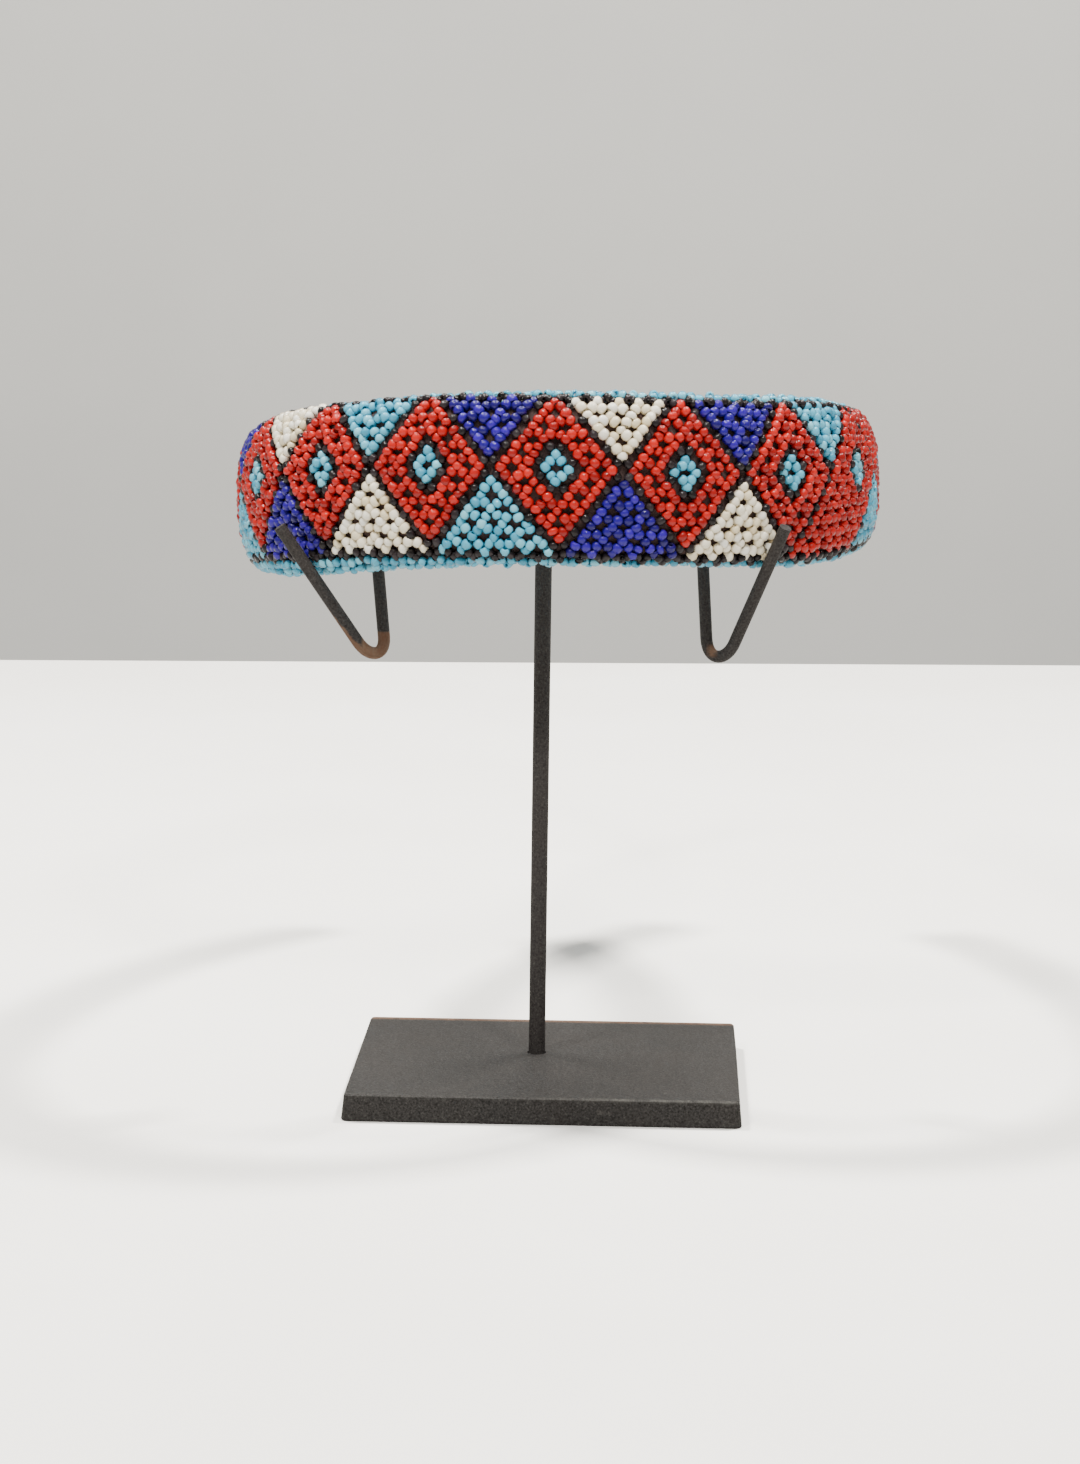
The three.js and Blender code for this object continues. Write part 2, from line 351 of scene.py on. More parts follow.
def glass_bead(name, dark, plain, light, painted_rim_shade, roughness=0.36, coat=0.42, shine=0.2):
    """Bead glass in three shades, which the beads' own tint picks between. Where a bead
    curves away from the eye, a darker painted shade takes over."""
    material, tree, shader = new_material(name)
    tint = tree.nodes.new("ShaderNodeAttribute")
    tint.attribute_name = "tint"
    stops = [(0.0, srgb(*dark)), (0.45, srgb(*plain)), (1.0, srgb(*light))]
    colour = ramp(tree, tint.outputs["Fac"], stops)
    # Painted shade: the colour darkens towards each bead's outline, by the angle to the eye.
    turned = tree.nodes.new("ShaderNodeLayerWeight")
    away = value_range(tree, turned.outputs["Facing"], 0.3, 0.95, 0.0, 0.85)
    colour = mix_colour(tree, away, colour, srgb(*painted_rim_shade))
    tree.links.new(colour, shader.inputs["Base Color"])
    patches = value_range(tree, noise(tree, 900.0), 0.3, 0.7, roughness - 0.06, roughness + 0.1)
    tree.links.new(patches, shader.inputs["Roughness"])
    shader.inputs["IOR"].default_value = 1.5
    shader.inputs["Specular IOR Level"].default_value = shine
    shader.inputs["Coat Weight"].default_value = coat
    shader.inputs["Coat Roughness"].default_value = 0.04
    bump(tree, shader, noise(tree, 1500.0, detail=2.0), 0.25, 0.0001)
    return material


# The fourth colour of each, here and in the black, is the painted shade at the beads' outlines.
GLASS_SHADES = {
    "red": ((146, 11, 9), (184, 19, 14), (208, 30, 22), (98, 8, 8)),
    "cobalt": ((26, 4, 100), (38, 7, 136), (56, 20, 166), (18, 6, 66)),
    "white": ((236, 220, 182), (252, 243, 220), (254, 251, 240), (178, 160, 124)),
    "turquoise": ((68, 156, 186), (94, 186, 214), (132, 209, 228), (26, 96, 124)),
}
BEAD_GLASS = {key: glass_bead(key + "_glass", *shades) for key, shades in GLASS_SHADES.items()}
BLACK_SHADES = ((24, 19, 20), (34, 28, 30), (50, 42, 45), (12, 9, 10))
DULLER = {"roughness": 0.42, "coat": 0.4, "shine": 0.1}
BEAD_GLASS["black"] = glass_bead("black_glass", *BLACK_SHADES, **DULLER)
print("bead colours:", ", ".join(BEAD_GLASS))

# %% [markdown]
# ## The stuffed roll
#
# Under the net is a roll of dark cloth stuffed hard, seen only as the dark in the net's
# holes. It could be a plain tube. But stuffing pulled in by a net swells slightly into
# every hole, so the surface is worked out on a grid, with a small quilted rise and fall,
# and closed by two domed ends.

# %% Stuffed roll
ROLL_INSET = 2.6
END_INSET = 3.0
END_DOME, DOME_RINGS, NARROWEST = 2.2, 9, 0.02
ROLL_STATIONS, ROLL_AROUND = 320, 72
QUILT_SWELL, QUILT_ROWS, QUILT_WAVE = 0.012, 13, 0.99


def heading_at(along):
    """The heading at a length along the outer face, from the middle of the front. The
    length runs at the beads' depth, where both circles are wider than on the crest."""
    grow = OUTER_HALF - BEAD_DEPTH
    turn, radius = by_side(along, "turn"), by_side(along, "radius") + grow
    front = (FRONT_RADIUS + grow) * turn
    length = np.abs(along)
    near = length / (FRONT_RADIUS + grow)
    far = turn + (length - front) / radius
    return np.where(along < 0, -1.0, 1.0) * np.where(length < front, near, far)


def net_reach(arm):
    """The length along the outer face from the middle of the front to an arm's end."""
    grow = OUTER_HALF - BEAD_DEPTH
    front = (FRONT_RADIUS + grow) * arm["turn"]
    return front + (arm["radius"] + grow) * (arm["end"] - arm["turn"])


LEFT_REACH, RIGHT_REACH = net_reach(LEFT_ARM), net_reach(RIGHT_ARM)


def end_seam():
    """The strip of quads that closes the narrow loop at an end of the roll. Each joins an
    edge of the outer side to the edge of the inner side at the same height."""
    k = np.arange(ROLL_AROUND // 2 - 1)
    bottom = ROLL_AROUND // 4
    strip = [bottom + k, bottom + k + 1, bottom - k - 2, bottom - k - 1]
    return np.stack(strip, axis=-1) % ROLL_AROUND


def stuffed_roll():
    """The roll's surface: the section, carried along the band. At each end the section
    shrinks to a narrow loop, and meanwhile moves on by a quarter circle, for a domed end."""
    cap = np.linspace(0.0, np.pi / 2, DOME_RINGS)
    closed = END_INSET + END_DOME
    body = np.linspace(-LEFT_REACH + closed, RIGHT_REACH - closed, ROLL_STATIONS)
    left_cap, right_cap = body[0] - END_DOME * np.cos(cap), body[-1] + END_DOME * np.sin(cap)
    along = np.concatenate([left_cap, body, right_cap])
    size = np.concatenate([np.sin(cap), np.ones(len(body)), np.cos(cap)])
    size = np.clip(size, NARROWEST, 1.0)
    out, up, _ = section_table(ROLL_INSET, ROLL_AROUND + 1)
    out, up = out[:-1], up[:-1]
    round_it = np.arange(ROLL_AROUND) / ROLL_AROUND * 2 * np.pi
    quilt = np.sin(QUILT_ROWS * round_it)[None, :] * np.sin(along * QUILT_WAVE)[:, None]
    heading = heading_at(along)[:, None]
    shrink = size[:, None] * (1.0 + QUILT_SWELL * quilt)
    narrow = HALF_HEIGHT - OUTER_HALF
    middle = np.clip(up, -narrow, narrow)
    points = band_point(heading, out * shrink, middle + (up - middle) * shrink)
    sides = grid_faces(len(along), ROLL_AROUND, close_columns=True)
    first_end = end_seam()
    last_end = end_seam()[:, ::-1] + (len(along) - 1) * ROLL_AROUND
    return points.reshape(-1, 3), np.concatenate([sides, first_end, last_end])


def roll_cloth():
    """Dark cotton: a fine grain in the bump, and a lint of paler fibres in the colour."""
    material, tree, shader = new_material("roll_cloth")
    lint = ramp(tree, noise(tree, 700.0), [(0.35, srgb(68, 50, 48)), (0.75, srgb(98, 78, 74))])
    tree.links.new(lint, shader.inputs["Base Color"])
    shader.inputs["Roughness"].default_value = 0.95
    shader.inputs["Sheen Weight"].default_value = 0.2
    shader.inputs["Sheen Roughness"].default_value = 0.5
    bump(tree, shader, noise(tree, 2500.0, detail=2.0), 0.6, 0.0002)
    return material


points, faces = stuffed_roll()
roll = mesh_object("stuffed_roll", points, faces, roll_cloth())
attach(roll, "root")
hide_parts("padded_core")
print("roll:", len(faces), "faces")

# %% [markdown]
# ## The lattice of the net
#
# In three-bead netting, each new stitch picks up three beads and passes through the
# middle bead of a stitch below. Count half steps across, x, and up, z. Every place where
# x and z are both odd or both even could hold a bead. With i = (x + z) / 2 and
# j = (z - x) / 2, a place where both i and j are even is an open hole, where both are odd
# it is a shared bead that the thread passes twice, and the rest are the side beads.
#
# Side beads lie along the slanting threads and shared beads stand upright. That is what
# makes a real net look like flowers round holes, rather than rows of dots.

# %% Lattice
STEP_ACROSS = 1.584
STEP_UP = 2.03
ROWS_ROUND = 52
TOP_ROW, BOTTOM_ROW = 12, -14
BOTTOM_STEPS, TOP_STEPS = (-13.5, -12.85, -12.25, -11.7), (10.0, 10.4, 10.75, 11.25)
DIAMOND_MIDDLE = 3.58
NET_MARGIN = 2.2
RISE, RISE_WAVES = 3.45, ((1, 0.0, 0.10), (2, -0.47, -1.70), (3, -0.30, -0.22))
RISE_LEFT_END, RISE_RIGHT_END = -1.45, 1.4

rng = np.random.default_rng(7)


def net_rise(heading):
    """How far the pattern's middle line lies above the middle of the outer face. The net
    was pulled on slightly twisted, so this changes round the band."""
    return RISE + waves(np.clip(heading, RISE_LEFT_END, RISE_RIGHT_END), RISE_WAVES)


def length_round(z):
    """The length round the section of a row of the net. Rows of the pattern keep their
    step, the small black beads of both edges lie closer, and the rows of the lining share
    out the rest of the way round."""
    low, high = BOTTOM_ROW - 1, TOP_ROW + 1
    low_rows = low + np.arange(len(BOTTOM_STEPS))
    high_rows = high - np.arange(len(TOP_STEPS))[::-1]
    rows = np.concatenate([low_rows, high_rows, [low + ROWS_ROUND]])
    lengths = STEP_UP * np.array(BOTTOM_STEPS + TOP_STEPS)
    return np.interp(z, rows, np.append(lengths, lengths[0] + ROUND_LENGTH))


def net_place(x, z):
    """The centre of the bead at x half steps across and z up."""
    heading = heading_at(DIAMOND_MIDDLE + x * STEP_ACROSS)
    return net_point(heading, length_round(z) + net_rise(heading))


first_x = int(np.ceil((-LEFT_REACH + NET_MARGIN - DIAMOND_MIDDLE) / STEP_ACROSS))
last_x = int(np.floor((RIGHT_REACH - NET_MARGIN - DIAMOND_MIDDLE) / STEP_ACROSS))
x, z = np.meshgrid(
    np.arange(first_x, last_x + 1),
    np.arange(BOTTOM_ROW - 1, BOTTOM_ROW - 1 + ROWS_ROUND),
    indexing="ij",
)
x, z = x.ravel(), z.ravel()
on_lattice = (x - z) % 2 == 0
x, z = x[on_lattice], z[on_lattice]
i, j = (x + z) // 2, (z - x) // 2
threaded = ~((i % 2 == 0) & (j % 2 == 0))
x, z, i, j = x[threaded], z[threaded], i[threaded], j[threaded]
print("places with a bead:", len(x))

# %% [markdown]
# ## The chart
#
# A bead worker charts a pattern on squared paper. Here the chart is a rule. Diamonds
# repeat every 24 half steps, and inside one, the larger of |i| and |j| counts rings from
# the middle: one turquoise, one black, three red and one black. Outside the rings are the
# triangles, whose colours follow each other in two short rows of letters. A red triangle
# below has no black line between it and the diamond to its right. And two black beads
# went astray into white triangles, and stay there.

# %% Chart
PITCH = 24
TOP_TRIANGLES = "tcwrtwcwtcwctrwctwct"
BOTTOM_TRIANGLES = "cwtcwrtcwtcwrtcwtcwt"
FIRST_GAP = -10
LETTERS = {"r": 0, "c": 1, "w": 2, "t": 3, "k": 4}
NAMES = ["red", "cobalt", "white", "turquoise", "black"]
RING_LETTERS = "-tkrrrk"


def codes(letters):
    """The colour numbers of a row of letters. A dash stands for a hole."""
    return np.array([LETTERS.get(letter, -1) for letter in letters])


def chart(x, z):
    """The colour number of each bead."""
    diamond = np.round(x / PITCH).astype(int)
    across = x - diamond * PITCH
    ring = np.maximum(np.abs(across + z), np.abs(z - across)) // 2
    gap = np.clip(np.floor(x / PITCH).astype(int) - FIRST_GAP, 0, len(TOP_TRIANGLES) - 1)
    colour = np.where(z > 0, codes(TOP_TRIANGLES)[gap], codes(BOTTOM_TRIANGLES)[gap])
    last_ring = len(RING_LETTERS) - 1
    ring_colour = codes(RING_LETTERS)[np.minimum(ring, last_ring)]
    colour = np.where(ring <= last_ring, ring_colour, colour)
    merged = (ring == last_ring) & (across < 0) & (z < 0)
    merged = merged & (codes(BOTTOM_TRIANGLES)[gap] == LETTERS["r"])
    colour = np.where(merged, LETTERS["r"], colour)
    edge = (z >= TOP_ROW - 1) | (z <= BOTTOM_ROW + 1)
    colour = np.where(edge, LETTERS["k"], colour)
    lining = (z > TOP_ROW) | (z < BOTTOM_ROW)
    return np.where(lining, LETTERS["t"], colour)


STRAY_BLACK = ((-28, -10), (46, -12))
colour = chart(x, z)
for stray_x, stray_z in STRAY_BLACK:
    colour[(x == stray_x) & (z == stray_z)] = LETTERS["k"]
PATTERN, TOP_EDGE, BOTTOM_EDGE, LINING = range(4)
skin = np.full(len(x), PATTERN)
skin[(z > TOP_ROW) | (z < BOTTOM_ROW)] = LINING
skin[(z <= TOP_ROW) & (z >= TOP_ROW - 1)] = TOP_EDGE
skin[(z >= BOTTOM_ROW) & (z <= BOTTOM_ROW + 1)] = BOTTOM_EDGE
print({name: int(np.sum((colour == n) & (skin == PATTERN))) for n, name in enumerate(NAMES)})

# %% [markdown]
# ## One bead, eight thousand times
#
# A seed bead is a short slice of glass tube with its edges melted round. Its outline is
# seven points, spun round the hole in nine steps, or in seven where the net is plain. That
# is few faces, but a bead is three millimetres wide, and smooth shading rounds it.
#
# Instancing a bead on points would be lighter, but the finished part needs real meshes.
# So all beads of one colour are worked out at once: centre, plus the outline times the
# bead's own three directions. These are its hole, the way across, and out of the band.
# Small random turns and shifts keep the rows from looking printed, and along both rims
# the beads stand out a little, crowded by the bend.

# %% Bead pieces
HALF_OUTLINE = [(0.16, 0.37), (0.31, 0.49), (0.46, 0.3)]
BEAD_OUTLINE = np.array(
    [(r, -a) for r, a in HALF_OUTLINE] + [(0.51, 0.0)] + [(r, a) for r, a in HALF_OUTLINE[::-1]]
)
BEAD_WIDTH = {"red": 3.24, "cobalt": 3.28, "white": 3.36, "turquoise": 3.06, "black": 2.62}
EDGE_WIDTH, LINING_WIDTH, END_WIDTH = 2.6, 2.85, 2.6
BEAD_LENGTH = 2.68
WIDTH_SPREAD, LENGTH_SPREAD = 0.05, 0.09
TURN_SPREAD, LEAN_SPREAD, SHIFT_SPREAD = np.radians(17.0), 0.12, 0.22
RIM_CREST_ROWS = np.array([TOP_ROW + 2, BOTTOM_ROW - 2, BOTTOM_ROW - 2 + ROWS_ROUND])
RIM_BULGE, BULGE_ROWS = np.array([0.8, 0.4, 0.4]), 2.0
STEPS_ROUND, FEWER_STEPS_ROUND = 9, 7
SMALL_STEP = 0.05


def unit(v):
    """Vectors at length one."""
    return v / np.linalg.norm(v, axis=-1, keepdims=True)


def bead_directions(x, z):
    """The two directions of the net at each place, and the way out of the band."""
    near = net_place(x, z)
    across = unit(net_place(x + SMALL_STEP, z) - near)
    up = unit(net_place(x, z + SMALL_STEP) - near)
    return across, up, unit(np.cross(across, up))


def bead_mesh(centre, hole, outward, width, length, around):
    """The vertices and faces of many beads: each outline point goes its share of the
    bead's length along the hole, and its share of the width away from it all round."""
    sideways = unit(np.cross(outward, hole))
    outward = np.cross(hole, sideways)
    angle = np.arange(around) / around * 2 * np.pi
    ring = (
        np.cos(angle)[None, :, None] * sideways[:, None, :]
        + np.sin(angle)[None, :, None] * outward[:, None, :]
    )
    radius = BEAD_OUTLINE[:, 0][None, None, :, None] * width[:, None, None, None]
    along = BEAD_OUTLINE[:, 1][None, None, :, None] * length[:, None, None, None]
    vertices = centre[:, None, None, :] + radius * ring[:, :, None, :]
    vertices = vertices + along * hole[:, None, None, :]
    per_bead = around * len(BEAD_OUTLINE)
    one = grid_faces(around, len(BEAD_OUTLINE), close_rows=True, close_columns=True)
    first_vertex = np.arange(len(centre)) * per_bead
    faces = (one[None, :, :] + first_vertex[:, None, None]).reshape(-1, 4)
    return vertices.reshape(-1, 3), faces, per_bead


def add_beads(name, centre, hole, outward, width, colour_name, around=STEPS_ROUND):
    """One piece made of many beads, each with its own size and tint."""
    count = len(centre)
    width = width * (1.0 + WIDTH_SPREAD * rng.standard_normal(count).clip(-2, 2))
    length = BEAD_LENGTH * (1.0 + LENGTH_SPREAD * rng.standard_normal(count).clip(-2, 2))
    vertices, faces, per_bead = bead_mesh(centre, hole, outward, width, length, around)
    tint = np.repeat(rng.random(count), per_bead)
    piece = mesh_object(name, vertices, faces, BEAD_GLASS[colour_name], {"tint": tint})
    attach(piece, "root")
    print(name, count, "beads,", 2 * len(faces), "triangles")
    return piece


across, up, outward = bead_directions(x, z)
centre = net_place(x, z)
shared = (i % 2 != 0) & (j % 2 != 0)
slant = np.where(i % 2 == 0, 1.0, -1.0)[:, None]
hole = np.where(shared[:, None], up, unit(slant * across * STEP_ACROSS + up * STEP_UP))
turn = TURN_SPREAD * rng.standard_normal(len(x)).clip(-2.0, 2.0)
side = np.cross(outward, hole)
hole = unit(hole * np.cos(turn)[:, None] + side * np.sin(turn)[:, None])
hole = unit(hole + outward * LEAN_SPREAD * rng.standard_normal(len(x))[:, None])
shift = SHIFT_SPREAD * rng.standard_normal((3, len(x))).clip(-2, 2)
centre = centre + across * shift[0][:, None] + up * shift[1][:, None]
centre = centre + outward * shift[2][:, None]
bulge = np.exp(-(((z[:, None] - RIM_CREST_ROWS) / BULGE_ROWS) ** 2)) @ RIM_BULGE
centre = centre + outward * bulge[:, None]

# Where the roll is lower, round the sides, the rows lie closer and the beads are smaller.
rows_apart = height_share(heading_at(DIAMOND_MIDDLE + x * STEP_ACROSS))

for number, name in enumerate(NAMES):
    pick = (colour == number) & (skin == PATTERN)
    width = BEAD_WIDTH[name] * (1.0 + rows_apart[pick]) / 2
    piece = add_beads(name + "_beads", centre[pick], hole[pick], outward[pick], width, name)
    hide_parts("diamond_net")

for edge, name, node in (
    (TOP_EDGE, "top_edge_beads", "top_edge_rows"),
    (BOTTOM_EDGE, "bottom_edge_beads", "bottom_edge_rows"),
):
    pick = skin == edge
    width = EDGE_WIDTH * np.ones(pick.sum())
    piece = add_beads(name, centre[pick], hole[pick], outward[pick], width, "black")
    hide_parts(node)

for name, on_side in (("left_lining_beads", x < 0), ("right_lining_beads", x >= 0)):
    pick = (skin == LINING) & on_side
    width = LINING_WIDTH * np.ones(pick.sum())
    placed = (centre[pick], hole[pick], outward[pick])
    piece = add_beads(name, *placed, width, "turquoise", FEWER_STEPS_ROUND)
    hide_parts("turquoise_lining")

# %% [markdown]
# ## Beaded ends
#
# At the band's two ends the net turns inwards over the flat of the roll and is drawn
# shut. Rings of beads follow the oval, each one smaller than the last and lying a little
# further out, which gives the end its domed look.

# %% End beads
END_RINGS = ((1.0, 1.55), (3.35, 0.35), (5.6, -0.35))
END_SPACING = 2.9
SMALL_TURN = 0.001


def end_ring(side, extra_inset, back):
    """Beads in an oval ring on one end: their centres, holes and the way out of the end.
    Their number is what fits at the end spacing, and the first one starts anywhere."""
    out, up, length = section_table(BEAD_DEPTH + extra_inset)
    total = length[-1] - length[0]
    count = int(total // END_SPACING)
    want = length[0] + (np.arange(count) + rng.random()) % count * total / count
    reach = RIGHT_REACH if side > 0 else LEFT_REACH
    heading = heading_at(np.full(count, side * (reach - BEAD_DEPTH - back)))
    spot_out, spot_up = np.interp(want, length, out), np.interp(want, length, up)
    spot = band_point(heading, spot_out, spot_up)
    step = (want + SMALL_STEP - length[0]) % total + length[0]
    ahead = band_point(heading, np.interp(step, length, out), np.interp(step, length, up))
    beyond = band_point(heading + side * SMALL_TURN, spot_out, spot_up)
    return spot, unit(ahead - spot), unit(beyond - spot)


spots, holes, outs = [], [], []
for side in (-1.0, 1.0):
    for extra, back in END_RINGS:
        spot, hole_way, out_way = end_ring(side, extra, back)
        spots.append(spot)
        holes.append(hole_way)
        outs.append(out_way)
spots, holes, outs = np.concatenate(spots), np.concatenate(holes), np.concatenate(outs)
width = END_WIDTH * np.ones(len(spots))
ends = add_beads("end_beads", spots, holes, outs, width, "turquoise", FEWER_STEPS_ROUND)
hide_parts("turquoise_lining")

# %% [markdown]
# ## The iron stand
#
# The stand is plain welded iron under a matt, slightly brown charcoal paint, sprayed thin
# enough to leave a fine speckle. Paint wears first where things rub: the plate's back edge
# shows thin rust, and the left hook is bare brown metal round its bend. The solids already
# have the right shape, so they stay, and get one material each.
#
# Where the wear lies is told by Object coordinates, which here are simply metres in the
# room: a band of height and depth picks out one edge, and noise breaks it up.


# %% Paint material
def maths(tree, operation, a, b):
    """One step of arithmetic on two sockets or numbers."""
    node = tree.nodes.new("ShaderNodeMath")
    node.operation = operation
    node.use_clamp = True
    for socket, value in zip(node.inputs, (a, b)):
        if isinstance(value, bpy.types.NodeSocket):
            tree.links.new(value, socket)
        else:
            socket.default_value = value
    return node.outputs[0]


def object_axes(tree):
    """The three Object coordinates."""
    where = tree.nodes.new("ShaderNodeTexCoord")
    split = tree.nodes.new("ShaderNodeSeparateXYZ")
    tree.links.new(where.outputs["Object"], split.inputs[0])
    return split.outputs


def near_value(tree, source, value, width):
    """One at a value, falling to nothing at a distance of width on either side."""
    node = tree.nodes.new("ShaderNodeMath")
    node.operation = "SUBTRACT"
    tree.links.new(source, node.inputs[0])
    node.inputs[1].default_value = value
    size = tree.nodes.new("ShaderNodeMath")
    size.operation = "ABSOLUTE"
    tree.links.new(node.outputs[0], size.inputs[0])
    return value_range(tree, size.outputs[0], 0.0, width, 1.0, 0.0)


def charcoal_paint(name, shades, shine):
    """The stand's paint before any wear: its tree, shader, colour and roughness. The
    three shades are those of the speckle, from dark to light."""
    material, tree, shader = new_material(name)
    speckle = noise(tree, 1600.0, detail=3.0, roughness=0.7)
    cloud = noise(tree, 45.0)
    fine = ramp(tree, speckle, list(zip((0.3, 0.52, 0.76), shades)))
    brownish = value_range(tree, cloud, 0.35, 0.75, 0.0, 0.2)
    colour = mix_colour(tree, brownish, fine, srgb(56, 49, 44))
    sparkle = value_range(tree, speckle, 0.35, 0.65, 0.4 * shine, 1.6 * shine)
    tree.links.new(sparkle, shader.inputs["Specular IOR Level"])
    rough = value_range(tree, speckle, 0.3, 0.7, 0.5, 0.75)
    bump(tree, shader, speckle, 0.35, 0.0002)
    return material, tree, shader, colour, rough


RUST, THIN_RUST = srgb(98, 66, 50), srgb(134, 100, 78)
BARE_METAL = srgb(110, 88, 72)
PALE_EDGE, PALE_SCUFF = srgb(110, 108, 102), srgb(96, 92, 88)
PLATE_SHADES = (srgb(30, 29, 28), srgb(45, 43, 42), srgb(72, 70, 67))
WIRE_SHADES = (srgb(41, 39, 39), srgb(58, 55, 54), srgb(80, 77, 74))

PLATE_TOP, FRONT_EDGE, BACK_EDGE = 0.0079, -0.0438, 0.0438


def plate_paint():
    """Paint with rust along the back edge, a pale worn front edge and small scuffs."""
    material, tree, shader, colour, rough = charcoal_paint("plate_paint", PLATE_SHADES, 0.24)
    x_axis, y_axis, z_axis = object_axes(tree)
    patches = noise(tree, 260.0, detail=6.0, roughness=0.7)
    rim = near_value(tree, z_axis, PLATE_TOP, 0.0012)
    back = maths(tree, "MULTIPLY", rim, near_value(tree, y_axis, BACK_EDGE, 0.0036))
    back = maths(tree, "MULTIPLY", back, value_range(tree, patches, 0.35, 0.6, 0.4, 1.2))
    front = maths(tree, "MULTIPLY", rim, near_value(tree, y_axis, FRONT_EDGE, 0.0009))
    front = maths(tree, "MULTIPLY", front, value_range(tree, patches, 0.4, 0.66, 0.1, 0.8))
    front = maths(tree, "MULTIPLY", front, value_range(tree, x_axis, -0.01, 0.03, 0.2, 1.0))
    colour = mix_colour(tree, back, colour, THIN_RUST)
    colour = mix_colour(tree, front, colour, PALE_EDGE)
    rubbed = noise(tree, 120.0, detail=8.0, roughness=0.75)
    scuffs = value_range(tree, rubbed, 0.64, 0.72, 0.0, 0.5)
    colour = mix_colour(tree, scuffs, colour, PALE_SCUFF)
    tree.links.new(colour, shader.inputs["Base Color"])
    tree.links.new(rough, shader.inputs["Roughness"])
    return material


LEFT_HOOK_FROM, BACK_LEG_FROM = -0.044, -0.0558
BARE_HEIGHT = 0.1366
SLANT_SLOPE, SLANT_AT = 1.12, 0.0712
RUST_SPOT_X, RUST_SPOT_Z = 0.0477, 0.1322


def wire_paint():
    """Paint worn off the left bend, up to a slanting line across the leg in front of it,
    with a small rust spot in the right bend. The slanting line is where height plus slope
    times x comes to one value, made ragged by noise."""
    material, tree, shader, colour, rough = charcoal_paint("wire_paint", WIRE_SHADES, 0.12)
    x_axis, _, z_axis = object_axes(tree)
    patches = noise(tree, 330.0, detail=5.0, roughness=0.65)
    left = value_range(tree, x_axis, LEFT_HOOK_FROM, LEFT_HOOK_FROM - 0.0005, 0.0, 1.0)
    sloping = value_range(tree, x_axis, -0.1, 0.0, -0.1 * SLANT_SLOPE, 0.0)
    slant = maths(tree, "ADD", z_axis, sloping)
    slant = maths(tree, "ADD", slant, maths(tree, "MULTIPLY", patches, 0.004))
    front_leg = value_range(tree, slant, SLANT_AT, SLANT_AT - 0.0008, 0.0, 1.0)
    low = value_range(tree, z_axis, BARE_HEIGHT, BARE_HEIGHT - 0.0005, 0.0, 1.0)
    behind = value_range(tree, x_axis, BACK_LEG_FROM - 0.0007, BACK_LEG_FROM, 0.0, 1.0)
    back_leg = maths(tree, "MULTIPLY", low, behind)
    bend = maths(tree, "MULTIPLY", left, maths(tree, "MAXIMUM", front_leg, back_leg))
    spot_x = near_value(tree, x_axis, RUST_SPOT_X, 0.0019)
    spot_z = near_value(tree, z_axis, RUST_SPOT_Z, 0.0022)
    spot = maths(tree, "MULTIPLY", spot_x, spot_z)
    spot = maths(tree, "MULTIPLY", spot, value_range(tree, patches, 0.35, 0.5, 0.0, 2.4))
    metal = mix_colour(tree, value_range(tree, patches, 0.4, 0.65, 0.0, 0.7), BARE_METAL, RUST)
    colour = mix_colour(tree, maths(tree, "MAXIMUM", bend, spot), colour, metal)
    tree.links.new(colour, shader.inputs["Base Color"])
    tree.links.new(rough, shader.inputs["Roughness"])
    return material


for node, paint in (("base_plate", plate_paint()), ("post_and_hooks", wire_paint())):
    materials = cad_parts[node].data.materials
    materials.clear()
    materials.append(paint)
print("painted the stand")

# %% [markdown]
# ## Table, wall and light
#
# The band hangs over a white table in front of a pale grey wall. Both are plain planes.
# A room with many ceiling lamps puts several small bright spots on every bead, and faint
# crossed shadows on the table. One set of lamps could do both. But the table should be
# near white, and lamps that strong would wash out the beads, so light linking gives the
# table lamps of its own.


# %% Stage
def plain_finish(name, low, high, glow, seen_by_things):
    """A pale matt surface with a slow cloudiness. A little glow of its own stands for the
    light that a bright room throws back from all sides. The camera sees the full colour,
    and the things near the surface are lit as by a duller one. From its back the surface
    is clear, so the wall doesn't hide the band from a camera that goes round it."""
    material, tree, shader = new_material(name)
    shader.inputs["Emission Color"].default_value = (1.0, 0.99, 0.96, 1.0)
    shader.inputs["Emission Strength"].default_value = glow
    cloud = ramp(tree, noise(tree, 6.0), [(0.3, srgb(*low)), (0.7, srgb(*high))])
    path = tree.nodes.new("ShaderNodeLightPath")
    colour = mix_colour(tree, path.outputs["Is Camera Ray"], srgb(*seen_by_things), cloud)
    tree.links.new(colour, shader.inputs["Base Color"])
    shader.inputs["Roughness"].default_value = 0.85
    facing = tree.nodes.new("ShaderNodeNewGeometry")
    clear = tree.nodes.new("ShaderNodeBsdfTransparent")
    one_sided = tree.nodes.new("ShaderNodeMixShader")
    tree.links.new(facing.outputs["Backfacing"], one_sided.inputs["Fac"])
    tree.links.new(shader.outputs["BSDF"], one_sided.inputs[1])
    tree.links.new(clear.outputs["BSDF"], one_sided.inputs[2])
    tree.links.new(one_sided.outputs["Shader"], tree.nodes["Material Output"].inputs["Surface"])
    return material


def stage_plane(name, corners, material):
    """One flat quad."""
    plane = mesh_object(name, np.array(corners, float), np.array([[0, 1, 2, 3]]), material)
    return plane


GLOW = 0.2
TABLE_SIDE, TABLE_FRONT, BACK_LEFT, BACK_RIGHT = 3000.0, -2500.0, 668.0, 1047.0
WALL_SIDE, WALL_AT, WALL_LOW, WALL_HIGH = 4000.0, 1500.0, -1500.0, 3000.0

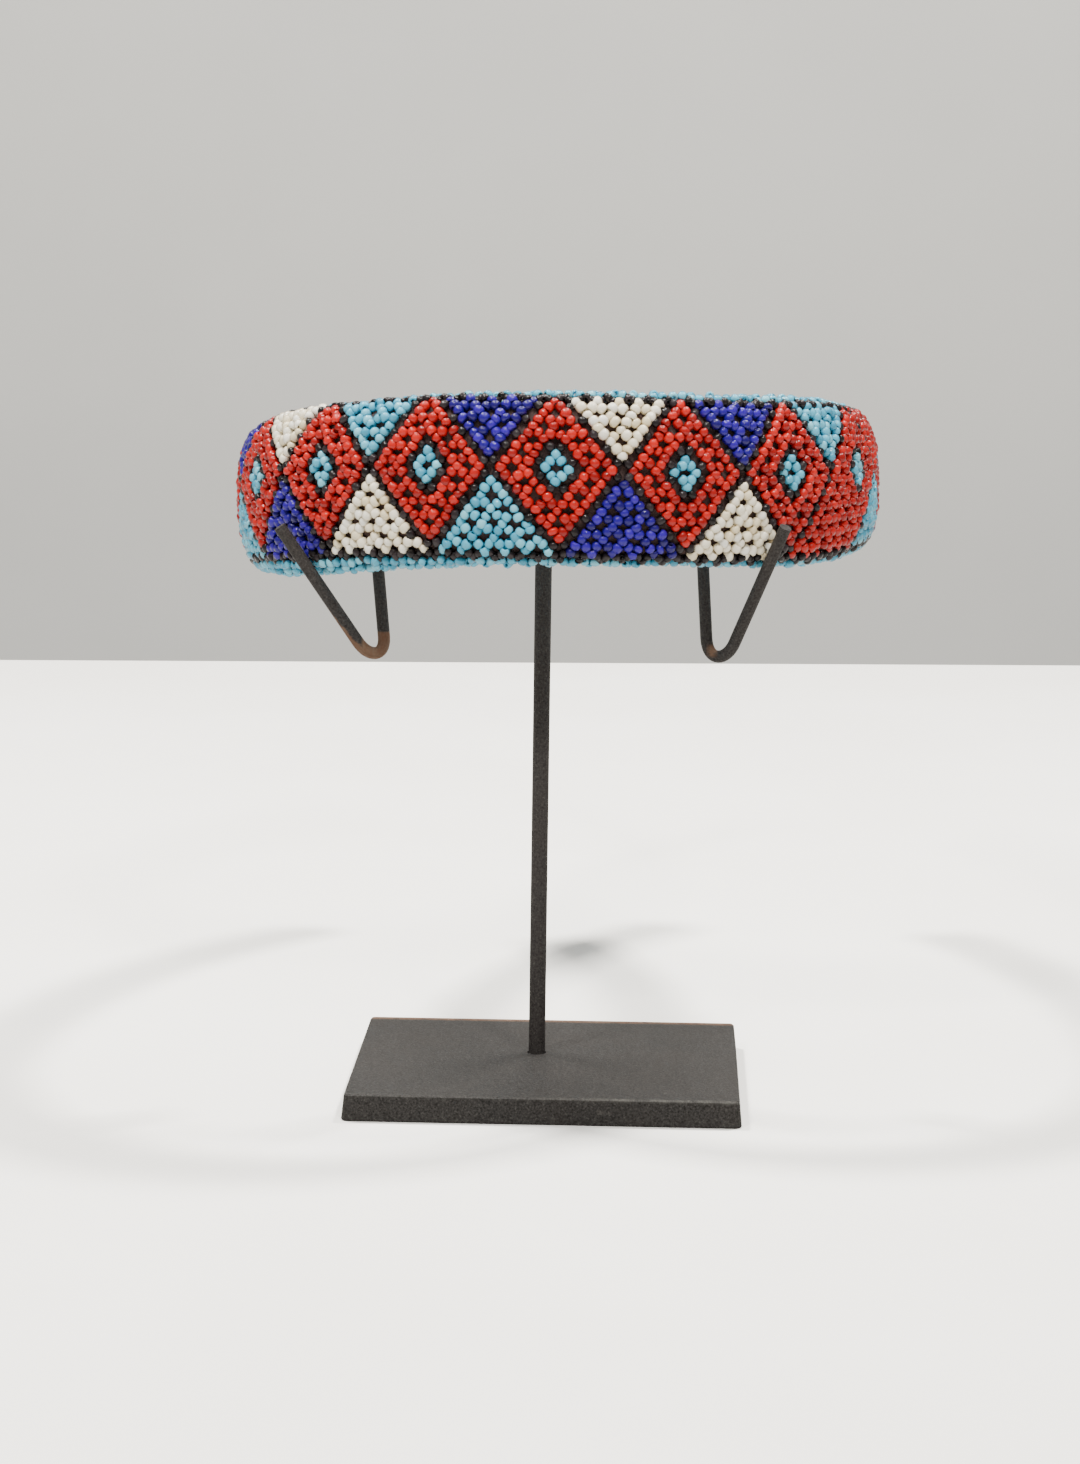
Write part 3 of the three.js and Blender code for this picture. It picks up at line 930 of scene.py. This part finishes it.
table = stage_plane(
    "table",
    [
        (-TABLE_SIDE, TABLE_FRONT, 0.0),
        (TABLE_SIDE, TABLE_FRONT, 0.0),
        (TABLE_SIDE, BACK_RIGHT, 0.0),
        (-TABLE_SIDE, BACK_LEFT, 0.0),
    ],
    plain_finish("table_white", (249, 246, 240), (254, 252, 247), GLOW, (170, 169, 165)),
)
stage_plane(
    "wall",
    [
        (-WALL_SIDE, WALL_AT, WALL_LOW),
        (WALL_SIDE, WALL_AT, WALL_LOW),
        (WALL_SIDE, WALL_AT, WALL_HIGH),
        (-WALL_SIDE, WALL_AT, WALL_HIGH),
    ],
    plain_finish("wall_grey", (190, 189, 184), (194, 193, 188), GLOW, (160, 159, 155)),
)


def lit_only(name, thing, state):
    """A collection for light linking. It includes one thing only, or excludes just that."""
    group = bpy.data.collections.new(name)
    group.objects.link(thing)
    group.collection_objects[0].light_linking.link_state = state
    return group


TABLE_ONLY = lit_only("table_only", table, "INCLUDE")
NOT_THE_TABLE = lit_only("not_the_table", table, "EXCLUDE")


def soft_light(name, at, aim, size, power, lights):
    """A square area light at a place, facing another, which lights only some things."""
    data = bpy.data.lights.new(name, "AREA")
    data.size = size
    data.energy = power
    data.color = (1.0, 0.975, 0.93)
    lamp = bpy.data.objects.new(name, data)
    away = unit(np.array(at, float) - np.array(aim, float))
    right = unit(np.cross([0.0, 0.01, 1.0], away))
    stand = np.eye(4)
    stand[:3, :3] = np.stack([right, np.cross(away, right), away], axis=1)
    stand[:3, 3] = at
    lamp.matrix_world = Matrix(stand.tolist())
    lamp.light_linking.receiver_collection = lights
    bpy.context.collection.objects.link(lamp)


AIM, WALL_SPOT = (0.0, 0.05, 0.1), (0.0, 1.5, 0.4)
CEILING_LEFT, CEILING_RIGHT = (-0.6, 0.35, 1.5), (0.55, 0.5, 1.5)
SMALL_LAMP, WIDE_LAMP, WALL_LAMP = 0.14, 0.4, 1.2

soft_light("ceiling_left", CEILING_LEFT, AIM, WIDE_LAMP, 24.0, NOT_THE_TABLE)
soft_light("ceiling_right", CEILING_RIGHT, AIM, WIDE_LAMP, 24.0, NOT_THE_TABLE)
soft_light("front_left", (-0.52, -0.65, 1.62), AIM, SMALL_LAMP, 18.0, NOT_THE_TABLE)
soft_light("front_middle", (-0.05, -0.85, 1.65), AIM, SMALL_LAMP, 10.0, NOT_THE_TABLE)
soft_light("front_right", (0.42, -0.75, 1.6), AIM, SMALL_LAMP, 15.5, NOT_THE_TABLE)
soft_light("wall_wash", (0.0, 0.6, 1.7), WALL_SPOT, WALL_LAMP, 8.0, NOT_THE_TABLE)
soft_light("shadow_left", CEILING_LEFT, AIM, SMALL_LAMP, 50.0, TABLE_ONLY)
soft_light("shadow_right", CEILING_RIGHT, AIM, SMALL_LAMP, 50.0, TABLE_ONLY)
soft_light("back_shadow_left", (-0.7, -0.95, 1.35), AIM, SMALL_LAMP, 14.0, TABLE_ONLY)
soft_light("back_shadow_right", (0.5, -1.2, 1.3), AIM, SMALL_LAMP, 14.0, TABLE_ONLY)

world = bpy.data.worlds.new("room")
world.use_nodes = True
backdrop = world.node_tree.nodes["Background"]
backdrop.inputs["Color"].default_value = (1.0, 0.985, 0.95, 1.0)
backdrop.inputs["Strength"].default_value = 0.28
bpy.context.scene.world = world
print("lamps:", len(bpy.data.lights))
